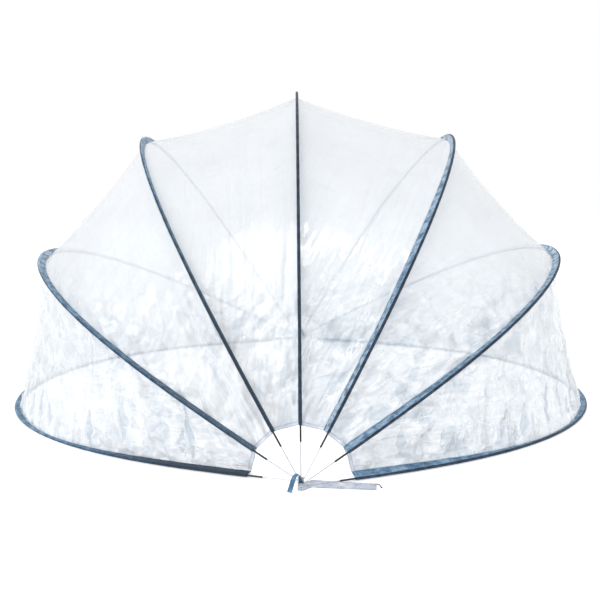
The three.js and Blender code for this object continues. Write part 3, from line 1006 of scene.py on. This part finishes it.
# The strap's two edges from the bolt's head to the floor, in millimetres. The far one is laid lower,
# as the folded pins pass over it.
STRAP_BACK_EDGE = {
    "near": [[-14, -47, 37], [0, -51.5, 39], [12, -47, 37], [20, -33, 34], [32, -3, 25], [48, 32, 15]],
    "far": [[-14, -47, 37], [0, -51.5, 39], [10, -48, 34], [17, -43, 25], [22, -37, 13], [27, -31, 8.4],
            [34, -8, 8.2], [48, 32, 8]],
}
STRAP_FRONT_EDGE = [[-14, -48, 0.6], [0, -52, 0.6], [12, -49, 0.6], [20, -42, 0.6], [32, -31, 0.6],
                    [48, -24, 0.6]]
EYELET = (0.0, -0.0525, 0.0165)
EYELET_RADIUS = 0.0075


def build_strap(side):
    """A loose strap of the film, hemmed along both edges, from the bolt's head down to the floor."""
    rows = 190
    lying = np.linspace(0.045, STRAP_LENGTH, 12)
    half = STRAP_WIDTH / 2
    lying_back = strap_point(lying, half, 0.009 - 0.02 * lying)
    lying_front = strap_point(lying, -half, 0.0006)
    back = smooth_line(np.vstack([np.array(STRAP_BACK_EDGE[side]) / 1000, lying_back]), rows)
    front = smooth_line(np.vstack([np.array(STRAP_FRONT_EDGE) / 1000, lying_front]), rows)
    across = np.array([-1, -0.95, -0.84, -0.76, -0.6, -0.4, -0.2, 0, 0.2, 0.4, 0.6, 0.76, 0.84, 0.95, 1])
    columns = len(across)
    share = (across[None, :, None] + 1) / 2
    surface = front[:, None] * (1 - share) + back[:, None] * share
    run = run_along(surface[:, columns // 2])
    facing = unit(np.cross(np.gradient(surface, axis=0), np.gradient(surface, axis=1)))
    flat = pairs(run[:, None], across * half)
    wrinkle = noise(spot(flat[..., 0] * 26, flat[..., 1] * 45, 1.0), 21)
    wrinkle = wrinkle + 0.6 * noise(spot(flat[..., 0] * 60, flat[..., 1] * 70, 2.0), 22)
    held_flat = smoothstep(0.010, 0.03, run)[:, None]
    lift = (0.0016 + 0.0026 * wrinkle * (1 - np.abs(across) ** 3)) * held_flat
    points = surface + facing * lift[..., None]
    points[..., 2] = np.maximum(points[..., 2], 0.0005)
    hole = np.linalg.norm(points - np.array(EYELET), axis=2).ravel()
    faces = [f for f in grid_faces(rows, columns) if min(hole[v] for v in f) > 0.8 * EYELET_RADIUS]
    piece = mesh_object("film_band_" + side, at_hub(side, points), faces, film_band)
    hems = {0, 1, 2, columns - 3, columns - 2, columns - 1}
    two_materials(piece, band_hem, lambda corners: all(v % columns in hems for v in corners))
    lay_flat(piece, "film", flat)
    note(piece, "crushed", np.ones(flat.shape[:2]))
    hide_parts("film_strap_" + side)
    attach(piece, "base_left")
    build_eyelet(side)


def build_eyelet(side):
    """A pressed steel ring round the bolt's head, in the strap's hub end."""
    rings = []
    tube_turns = np.linspace(0, 2 * math.pi, 9)[:-1]
    for turn in np.linspace(0, 2 * math.pi, 37):
        radius = EYELET_RADIUS + 0.0022 * np.cos(tube_turns)
        out = EYELET[1] + 0.0016 * np.sin(tube_turns)
        ring = np.stack([EYELET[0] + radius * math.cos(turn), out, EYELET[2] + radius * math.sin(turn)], -1)
        rings.append(at_hub(side, ring))
    piece = tube("eyelet_" + side, np.array(rings), steel, capped=False)
    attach(piece, "base_left")
    return piece


# The hook's bends past the strap's end, in metres along and across the strap.
HOOK_BENDS = np.array([[-12, 31], [0.8, 33], [8, 31], [14, 21], [19, 6], [25, -5], [18, -9]]) / 1000
HOOK_WIRE_RADIUS = 0.0020


def build_hook(side):
    """Bent black wire sewn into the strap's outer corner."""
    count = 60
    knots = strap_point(STRAP_LENGTH + 0.0004 + HOOK_BENDS[:, 0], HOOK_BENDS[:, 1], 0.0026)
    line = at_hub(side, smooth_line(knots, count))
    radii = np.full(count, HOOK_WIRE_RADIUS)
    radii[[0, -1]] = 0.55 * HOOK_WIRE_RADIUS
    piece = round_tube("wire_hook_" + side, line, radii, 12, hook_black)
    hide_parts("strap_hook_" + side)
    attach(piece, "base_left")


for side in ("near", "far"):
    paint("hub_bracket_" + side, zinc, bevel=0.0006)
    paint("pivot_bolt_" + side, steel)
    paint("lock_nut_" + side, steel, bevel=0.0004)
    build_tie(side)
    build_strap(side)
    build_hook(side)
for name in HOOP_NAMES:
    paint("crown_ferrule_" + name, steel)


# -------------------------------- camera, floor and light
CAMERA_X = -0.0088
CAMERA_BACK = 2.6236                # from the middle of the dome, in half spans
CAMERA_HEIGHT = 0.6913              # above the pivots, in half spans
CAMERA_TILT = 0.2513                # downwards, in radians
CAMERA_YAW = -0.0055
CAMERA_ROLL = -0.0082


def build_camera():
    data = bpy.data.cameras.new("camera")
    camera = new_object("camera", data)
    data.sensor_width = 36
    data.lens = 40.85
    data.shift_y = 0.1333
    data.shift_x = -0.003
    camera.location = (CAMERA_X, -CAMERA_BACK * HALF_SPAN, pivot.z + CAMERA_HEIGHT * HALF_SPAN)
    heading = Euler((math.pi / 2 - CAMERA_TILT, 0.0, CAMERA_YAW)).to_quaternion()
    camera.rotation_mode = "QUATERNION"
    camera.rotation_quaternion = heading @ Quaternion((0, 0, 1), CAMERA_ROLL)
    bpy.context.scene.camera = camera


def build_floor():
    """A plain white floor, bright enough to meet the white behind it without an edge."""
    half = 60.0
    corners = [(-half, -half, 0), (half, -half, 0), (half, half, 0), (-half, half, 0)]
    material, tree, shader = new_material("floor_white")
    set_sockets(shader, {"Base Color": (0.95, 0.95, 0.95, 1), "Roughness": 0.9,
                         "Emission Color": (1, 1, 1, 1), "Emission Strength": 0.33})
    floor = mesh_object("floor", corners, [(0, 1, 2, 3)], material, smooth=False)


def build_world():
    """White where the camera sees it; the film mirrors a pale wall on +Y and a dimmer room on -Y."""
    world = bpy.data.worlds.new("world")
    bpy.context.scene.world = world
    world.use_nodes = True
    tree = world.node_tree
    background = tree.nodes["Background"]
    way = split_xyz(tree, node(tree, "ShaderNodeTexCoord").outputs["Generated"])
    room = [(0.0, (0.28, 0.31, 0.35)), (0.25, (0.40, 0.43, 0.47)), (0.8, (0.72, 0.74, 0.76))]
    dim = ramp(tree, way["Z"], room)
    sky = blend_colours(tree, remap(tree, way["Y"], 0.1, 0.8), dim, (0.90, 0.91, 0.92))
    seen = node(tree, "ShaderNodeLightPath").outputs["Is Camera Ray"]
    tree.links.new(blend_colours(tree, seen, sky, (1.0, 1.0, 1.0)), background.inputs["Color"])


def point_lamp(lamp, direction):
    lamp.rotation_mode = "QUATERNION"
    lamp.rotation_quaternion = direction.to_track_quat("-Z", "Y")


def build_sun(name, strength, angle, direction):
    data = bpy.data.lights.new(name, "SUN")
    data.energy = strength
    data.angle = math.radians(angle)
    point_lamp(new_object(name, data), Vector(direction))


def build_strip(name, power, place, size):
    """A long soft box, aimed at the middle of the object."""
    data = bpy.data.lights.new(name, "AREA")
    data.shape = "RECTANGLE"
    data.size, data.size_y = size
    data.energy = power
    lamp = new_object(name, data)
    lamp.location = place
    point_lamp(lamp, Vector((0, 0, 0.6)) - Vector(place))


build_camera()
build_floor()
build_world()
build_sun("key", 1.0, 40, (0.6, 0.7, -0.8))
build_strip("strip_left", 30, (-5.0, -4.2, 2.6), (0.14, 3.2))
build_strip("strip_right", 20, (4.6, -4.6, 2.4), (0.12, 3.0))
build_strip("strip_top", 24, (1.5, -3.6, 5.2), (1.8, 0.4))
bpy.context.scene.view_settings.view_transform = "Standard"
